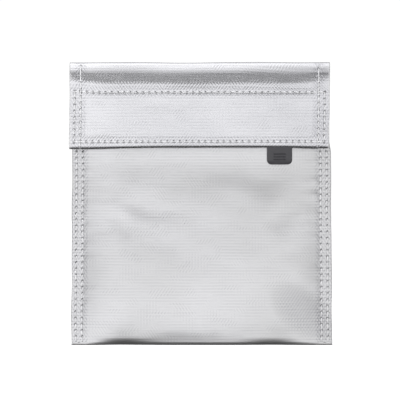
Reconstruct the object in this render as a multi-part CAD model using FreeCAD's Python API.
"""Fire-resistant battery pouch: a flat bag of two-ply glass-fibre cloth with a fold-over flap.

Frame: +Z up, +X to the right, the front faces -Y. The origin is at the middle of the bounding box's
underside. Millimetres. The bag is upright, empty and closed by its hook-and-loop tapes.

How it is made. One strip of cloth is the back, the bottom fold and the flap, and another is the front
wall; each has a lining. Both sides are pressed into flat margins held by two rows of lockstitch. The
front wall tilts about the bottom fold when the mouth is opened, the flap swings about the top fold, and
the rubber pull tab flexes at the flap's free edge.
"""
import FreeCAD, Part
import math
import os

Vector = FreeCAD.Vector

# Driving dimensions
BODY_WIDTH = 200.0            # back and front, over the side margins
BODY_HEIGHT = 218.0           # bottom fold to top fold
FLAP_WIDTH = 200.0
SIDE_SHIFT = 1.0              # the flap is sewn this far to the left, and the body to the right
FLAP_EDGE_Z = 151.6           # free edge of the closed flap
MOUTH_Z = 203.0               # top edge of the front wall
OUTER_CLOTH = 0.5             # metal-coated glass cloth
LINING_CLOTH = 0.4            # plain glass cloth
PLY_GAP = 0.1                 # clearance between plies
CUT_GAP = 0.25                # clearance at the bottom fold, where the strip is cut into two bodies
FOLD_GAP = 0.1                # half the clearance at the top fold
MARGIN_WIDTH = 12.0           # sewn side margins
MARGIN_THICKNESS = 3.0        # six plies pressed flat
MARGIN_RECESS = 0.4           # how far the margins lie in from the flat back
MARGIN_LAP = 1.0              # how far the back's margins run under its flat middle
BACK_Y = 7.0                  # outside of the back
FLAP_Y = -5.6                 # outside of the closed flap
FRONT_Y = -2.0                # outside of the front wall behind the tapes
BELLY_Y = -7.0                # outside of the front wall where it stands out most
BELLY_Z = 80.0
TOP_FOLD_HEIGHT = 12.0        # height of the top fold's rounding
BOTTOM_FOLD_RADIUS = 3.5
TAPE_WIDTH = 40.0
TAPE_BOTTOM_Z = 155.6
TAPE_BACKING = 0.5
TAPE_PILE = 0.7               # hooks or loops above the backing
TAPE_SELVAGE = 2.5            # bare edge that the stitching runs along
HOOK_TAPE_LENGTH = 195.0
LOOP_TAPE_LENGTH = 164.0
STITCH_WIDTH = 0.7            # a row of lockstitch, as a ribbon of this width
STITCH_HEIGHT = 0.3
STITCH_GAP = 0.03             # clearance between a row and the cloth that it lies on
CROSSING_GAP = 0.05           # clearance where one row crosses another
TAPE_ROW_INSET = 1.0          # rows from the tape's edges
OUTER_ROW_INSET = 3.4         # rows from the side edges
INNER_ROW_INSET = 8.2
TAB_WIDTH = 19.5
TAB_BOTTOM_Z = 139.0
TAB_THICKNESS = 1.2
TAB_CORNER_RADIUS = 3.0
TAB_X = 60.7                  # middle of the tab
TAB_ANCHOR_HEIGHT = 3.4
TAB_GAP = 0.2                 # clearance at the tab's flex line

# Worked out from those
BODY_LEFT = SIDE_SHIFT - BODY_WIDTH / 2
BODY_RIGHT = SIDE_SHIFT + BODY_WIDTH / 2
FLAP_LEFT = -SIDE_SHIFT - FLAP_WIDTH / 2
FLAP_RIGHT = -SIDE_SHIFT + FLAP_WIDTH / 2
TAPE_TOP_Z = TAPE_BOTTOM_Z + TAPE_WIDTH
FOLD_Y = (BACK_Y + FLAP_Y) / 2                    # middle of the top fold
FOLD_HALF_DEPTH = (BACK_Y - FLAP_Y) / 2
FOLD_START_Z = BODY_HEIGHT - TOP_FOLD_HEIGHT
LINING_OFFSET = OUTER_CLOTH + PLY_GAP             # outside of the panel to outside of its lining
WALL = LINING_OFFSET + LINING_CLOTH
FLAP_INSIDE_Y = FLAP_Y + WALL
FOLD_FRONT_Y = BACK_Y - 2 * BOTTOM_FOLD_RADIUS    # front end of the bottom fold
WALL_HALF_WIDTH = BODY_WIDTH / 2 - MARGIN_WIDTH - 0.3
LINING_HALF_WIDTH = BODY_WIDTH / 2 - MARGIN_WIDTH - MARGIN_LAP - PLY_GAP
MARGIN_BACK_Y = BACK_Y - MARGIN_RECESS - OUTER_CLOTH - PLY_GAP
MARGIN_FRONT_Y = MARGIN_BACK_Y - MARGIN_THICKNESS


def box(x0, x1, y0, y1, z0, z1):
    return Part.makeBox(x1 - x0, y1 - y0, z1 - z0, Vector(x0, y0, z0))


def extrude_along_x(wire, x0, x1):
    """A closed wire in the plane x = 0, as a solid from x0 to x1."""
    solid = Part.Face(wire).extrude(Vector(x1 - x0, 0, 0))
    solid.translate(Vector(x0, 0, 0))
    return solid


def fold_point(angle, inset):
    """A point of the top fold, at this depth inside its outer surface; 0 degrees is the back, 90 the top."""
    a = math.radians(angle)
    y = FOLD_Y + (FOLD_HALF_DEPTH - inset) * math.cos(a)
    z = FOLD_START_Z + (TOP_FOLD_HEIGHT - inset) * math.sin(a)
    return Vector(0, y, z)


def fold_curve(start, end, inset, count=9):
    """The top fold's profile between two angles, as a smooth curve."""
    step = (end - start) / (count - 1)
    curve = Part.BSplineCurve()
    curve.interpolate([fold_point(start + i * step, inset) for i in range(count)])
    return curve.toShape()


def folded_sheet(start, end, inset, thickness, end_z, x0, x1):
    """A sheet that follows the top fold between two angles, then runs straight down to end_z."""
    outer_fold = fold_curve(start, end, inset)
    inner_fold = fold_curve(start, end, inset + thickness)
    outer_end = fold_point(end, inset)
    inner_end = fold_point(end, inset + thickness)
    outer_foot = Vector(0, outer_end.y, end_z)
    inner_foot = Vector(0, inner_end.y, end_z)
    edges = [
        outer_fold,
        Part.makeLine(outer_end, outer_foot),
        Part.makeLine(outer_foot, inner_foot),
        Part.makeLine(inner_foot, inner_end),
        inner_fold,
        Part.makeLine(fold_point(start, inset + thickness), fold_point(start, inset)),
    ]
    return extrude_along_x(Part.Wire(Part.__sortEdges__(edges)), x0, x1)


def apex_angle(inset):
    """The angle at which a sheet stops short of the fold line by FOLD_GAP."""
    return 90.0 - math.degrees(math.asin(FOLD_GAP / (FOLD_HALF_DEPTH - inset)))


# Back ------------------------------------------------------------------------------------------

def bottom_fold():
    """The half round that the back panel makes under the bag, between the side margins."""
    outer, inner = BOTTOM_FOLD_RADIUS, BOTTOM_FOLD_RADIUS - OUTER_CLOTH
    y, z = BACK_Y - outer, outer
    edges = [
        Part.Arc(Vector(0, y + outer, z), Vector(0, y, z - outer), Vector(0, y - outer, z)).toShape(),
        Part.makeLine(Vector(0, y - outer, z), Vector(0, y - inner, z)),
        Part.Arc(Vector(0, y - inner, z), Vector(0, y, z - inner), Vector(0, y + inner, z)).toShape(),
        Part.makeLine(Vector(0, y + inner, z), Vector(0, y + outer, z)),
    ]
    wire = Part.Wire(Part.__sortEdges__(edges))
    return extrude_along_x(wire, SIDE_SHIFT - WALL_HALF_WIDTH, SIDE_SHIFT + WALL_HALF_WIDTH)


def back_panel():
    """Bottom fold, flat back and the rear half of the top fold, with its margins set in a little."""
    step = BODY_WIDTH / 2 - MARGIN_WIDTH
    flat = box(SIDE_SHIFT - step, SIDE_SHIFT + step, BACK_Y - OUTER_CLOTH, BACK_Y,
               BOTTOM_FOLD_RADIUS, FOLD_START_Z)
    fold = folded_sheet(apex_angle(0), 0, 0, OUTER_CLOTH, FOLD_START_Z - 1, BODY_LEFT, BODY_RIGHT)
    margin_y = BACK_Y - MARGIN_RECESS
    panel = flat.fuse([fold, bottom_fold()])
    lap = step - MARGIN_LAP
    for x0, x1 in ((BODY_LEFT, SIDE_SHIFT - lap), (SIDE_SHIFT + lap, BODY_RIGHT)):
        panel = panel.fuse(box(x0, x1, margin_y - OUTER_CLOTH, margin_y, 0.5, FOLD_START_Z))
    return panel.removeSplitter()


def back_lining():
    """The ply inside the back, from the bottom fold to the fold line."""
    x0, x1 = SIDE_SHIFT - LINING_HALF_WIDTH, SIDE_SHIFT + LINING_HALF_WIDTH
    return folded_sheet(apex_angle(LINING_OFFSET), 0, LINING_OFFSET, LINING_CLOTH,
                        BOTTOM_FOLD_RADIUS + 0.5, x0, x1)


def seam_margin(x0, x1):
    """The sewn edge of the bag: both walls and their turned-in edges, pressed to one strip."""
    strip = box(x0, x1, MARGIN_FRONT_Y, MARGIN_BACK_Y, 0.5, MOUTH_Z)
    upright = [e for e in strip.Edges if abs(e.tangentAt(e.FirstParameter).z) > 0.9]
    return strip.makeFillet(0.8, upright)


# Front wall ------------------------------------------------------------------------------------

# Height, and how far out the wall stands there
WALL_HEIGHTS = (
    (BOTTOM_FOLD_RADIUS + CUT_GAP, FOLD_FRONT_Y),
    (12.0, -2.6),
    (32.0, -5.4),
    (BELLY_Z, BELLY_Y),
    (118.0, -5.2),
    (140.0, -2.8),
    (TAPE_BOTTOM_Z - 2, FRONT_Y),
    (MOUTH_Z, FRONT_Y),
)


def wall_half_section(out_y, height):
    """The right half of the wall's outline at one height: from the middle to the margin."""
    flat_y = max(out_y, FRONT_Y)          # the shoulders never stand out past the tape's level
    side_y = MARGIN_FRONT_Y + 0.1
    belly = flat_y - out_y
    shape = ((0.0, out_y), (35.0, out_y + 0.18 * belly), (60.0, out_y + 0.6 * belly), (82.0, flat_y))
    return [Vector(x, y, height) for x, y in shape] + [Vector(WALL_HALF_WIDTH, side_y, height)]


def wall_section(out_y, height, inset, thickness):
    """The closed outline of one ply of the wall at one height."""
    right = wall_half_section(out_y, height)
    left = [Vector(-p.x, p.y, p.z) for p in reversed(right[1:])]
    outer = [Vector(p.x + SIDE_SHIFT, p.y + inset, p.z) for p in left + right]
    inner = [Vector(p.x, p.y + thickness, p.z) for p in reversed(outer)]
    return Part.makePolygon(outer + inner + outer[:1])


def wall_ply(inset, thickness, foot_z):
    """One ply of the front wall, lofted up through its sections."""
    sections = []
    for height, out_y in WALL_HEIGHTS:
        sections.append(wall_section(out_y, max(height, foot_z), inset, thickness))
    return Part.makeLoft(sections, True, True)


def front_panel():
    return wall_ply(0.0, OUTER_CLOTH, 0.0)


def front_lining():
    return wall_ply(LINING_OFFSET, LINING_CLOTH, BOTTOM_FOLD_RADIUS + 1.0)


def tape(length, centre_x, backing_y, towards):
    """Hook or loop tape: a woven backing with its pile field; towards is -1 or 1, the pile's side."""
    x0, x1 = centre_x - length / 2, centre_x + length / 2
    front_y = backing_y + towards * TAPE_BACKING
    pile_y = front_y + towards * TAPE_PILE
    backing = box(x0, x1, min(backing_y, front_y), max(backing_y, front_y), TAPE_BOTTOM_Z, TAPE_TOP_Z)
    pile = box(x0 + TAPE_SELVAGE, x1 - TAPE_SELVAGE, min(front_y, pile_y), max(front_y, pile_y),
               TAPE_BOTTOM_Z + TAPE_SELVAGE, TAPE_TOP_Z - TAPE_SELVAGE)
    return backing.fuse(pile).removeSplitter()


def loop_tape():
    return tape(LOOP_TAPE_LENGTH, SIDE_SHIFT, FRONT_Y - PLY_GAP, -1)


# Flap ------------------------------------------------------------------------------------------

def flap_panel():
    return folded_sheet(180 - apex_angle(0), 180, 0, OUTER_CLOTH, FLAP_EDGE_Z, FLAP_LEFT, FLAP_RIGHT)


def flap_lining():
    return folded_sheet(180 - apex_angle(LINING_OFFSET), 180, LINING_OFFSET, LINING_CLOTH,
                        FLAP_EDGE_Z + 0.4, FLAP_LEFT + 0.4, FLAP_RIGHT - 0.4)


def hook_tape():
    return tape(HOOK_TAPE_LENGTH, -SIDE_SHIFT, FLAP_INSIDE_Y + PLY_GAP, 1)


def pull_tab():
    """The exposed part of the rubber tab, with its two lower corners rounded."""
    x0, x1 = TAB_X - TAB_WIDTH / 2, TAB_X + TAB_WIDTH / 2
    y0 = FLAP_INSIDE_Y + PLY_GAP
    plate = box(x0, x1, y0, y0 + TAB_THICKNESS, TAB_BOTTOM_Z, FLAP_EDGE_Z - TAB_GAP / 2)
    corners = [e for e in plate.Edges
               if abs(e.tangentAt(e.FirstParameter).y) > 0.9 and e.CenterOfMass.z < TAB_BOTTOM_Z + 0.1]
    return plate.makeFillet(TAB_CORNER_RADIUS, corners)


def tab_anchor():
    """The sewn-in root of the same rubber tab, behind the flap's free edge."""
    y0 = FLAP_INSIDE_Y + PLY_GAP
    z0 = FLAP_EDGE_Z + TAB_GAP / 2
    return box(TAB_X - TAB_WIDTH / 2, TAB_X + TAB_WIDTH / 2, y0, y0 + TAB_THICKNESS,
               z0, z0 + TAB_ANCHOR_HEIGHT)


# Stitching -------------------------------------------------------------------------------------

def flat_row(face_y, outward, x0, x1, z0, z1):
    """A straight row lying on a face at face_y; outward is -1 on a face to the front, 1 to the back."""
    near, far = face_y + outward * STITCH_GAP, face_y + outward * (STITCH_GAP + STITCH_HEIGHT)
    return box(x0, x1, min(near, far), max(near, far), z0, z1)


def upright_row(face_y, outward, x, z0, z1):
    return flat_row(face_y, outward, x - STITCH_WIDTH / 2, x + STITCH_WIDTH / 2, z0, z1)


def level_row(face_y, outward, z, x0, x1, crossings=()):
    """A level row as a list of solids, broken where upright rows cross it."""
    half = STITCH_WIDTH / 2
    reach = half + CROSSING_GAP
    starts = [x0] + [x + reach for x in crossings]
    ends = [x - reach for x in crossings] + [x1]
    return [flat_row(face_y, outward, start, end, z - half, z + half) for start, end in zip(starts, ends)]


def seam_stitching(x):
    """One row of the side seam: needle thread on the front, bobbin thread on the back."""
    return [upright_row(MARGIN_FRONT_Y, -1, x, 2.0, MOUTH_Z - 1.5),
            upright_row(BACK_Y - MARGIN_RECESS, 1, x, 2.0, MOUTH_Z - 1.5)]


def flap_hem_stitching(x):
    """A row down the side of the flap, from the top fold to the free edge, as one bent ribbon."""
    lift = -(STITCH_GAP + STITCH_HEIGHT)
    x0, x1 = x - STITCH_WIDTH / 2, x + STITCH_WIDTH / 2
    return [folded_sheet(125, 180, lift, STITCH_HEIGHT, FLAP_EDGE_Z + 1.2, x0, x1)]


def tape_stitching(half_length, centre_x, face_y, outward, under_y, crossings=()):
    """The four rows round a tape, by name, each as the two threads seen on the two sides."""
    x0, x1 = centre_x - half_length + TAPE_ROW_INSET, centre_x + half_length - TAPE_ROW_INSET
    z0, z1 = TAPE_BOTTOM_Z + TAPE_ROW_INSET, TAPE_TOP_Z - TAPE_ROW_INSET
    clear = STITCH_WIDTH
    rows = {}
    for side, z in (("top", z1), ("bottom", z0)):
        face_row = level_row(face_y, outward, z, x0, x1, crossings)
        rows[side] = face_row + level_row(under_y, -outward, z, x0, x1)
    for side, x in (("left", x0), ("right", x1)):
        rows[side] = [upright_row(face_y, outward, x, z0 + clear, z1 - clear),
                      upright_row(under_y, -outward, x, z0 + clear, z1 - clear)]
    return rows


def mouth_hem_stitching():
    """The row that closes the turned-in top edge of the front wall."""
    z = (TAPE_TOP_Z + MOUTH_Z) / 2
    x0, x1 = SIDE_SHIFT - 80.0, SIDE_SHIFT + 80.0
    return level_row(FRONT_Y, -1, z, x0, x1) + level_row(FRONT_Y + WALL, 1, z, x0, x1)


def all_parts():
    """Every node by name, each as a list of solids."""
    flap_rows = (FLAP_LEFT + INNER_ROW_INSET, FLAP_RIGHT - INNER_ROW_INSET)
    parts = {
        "back_panel": [back_panel()],
        "back_lining": [back_lining()],
        "left_seam_margin": [seam_margin(BODY_LEFT, BODY_LEFT + MARGIN_WIDTH)],
        "right_seam_margin": [seam_margin(BODY_RIGHT - MARGIN_WIDTH, BODY_RIGHT)],
        "left_outer_seam_stitching": seam_stitching(BODY_LEFT + OUTER_ROW_INSET),
        "left_inner_seam_stitching": seam_stitching(BODY_LEFT + INNER_ROW_INSET),
        "right_inner_seam_stitching": seam_stitching(BODY_RIGHT - INNER_ROW_INSET),
        "right_outer_seam_stitching": seam_stitching(BODY_RIGHT - OUTER_ROW_INSET),
        "front_panel": [front_panel()],
        "front_lining": [front_lining()],
        "loop_tape": [loop_tape()],
        "mouth_hem_stitching": mouth_hem_stitching(),
        "flap_panel": [flap_panel()],
        "flap_lining": [flap_lining()],
        "hook_tape": [hook_tape()],
        "flap_left_hem_stitching": flap_hem_stitching(flap_rows[0]),
        "flap_right_hem_stitching": flap_hem_stitching(flap_rows[1]),
        "tab_anchor": [tab_anchor()],
        "pull_tab": [pull_tab()],
    }
    hook_rows = tape_stitching(HOOK_TAPE_LENGTH / 2, -SIDE_SHIFT, FLAP_Y, -1,
                               FLAP_INSIDE_Y + PLY_GAP + TAPE_BACKING, flap_rows)
    loop_rows = tape_stitching(LOOP_TAPE_LENGTH / 2, SIDE_SHIFT, FRONT_Y - PLY_GAP - TAPE_BACKING, -1,
                               FRONT_Y + WALL)
    for side, solids in hook_rows.items():
        parts[f"hook_tape_{side}_stitching"] = solids
    for side, solids in loop_rows.items():
        parts[f"loop_tape_{side}_stitching"] = solids
    return parts


def main():
    os.makedirs("parts", exist_ok=True)
    for name, solids in all_parts().items():
        shape = solids[0] if len(solids) == 1 else Part.makeCompound(solids)
        if not shape.isValid():
            raise ValueError(f"{name} isn't a valid shape")
        shape.exportStep(f"parts/{name}.step")


main()
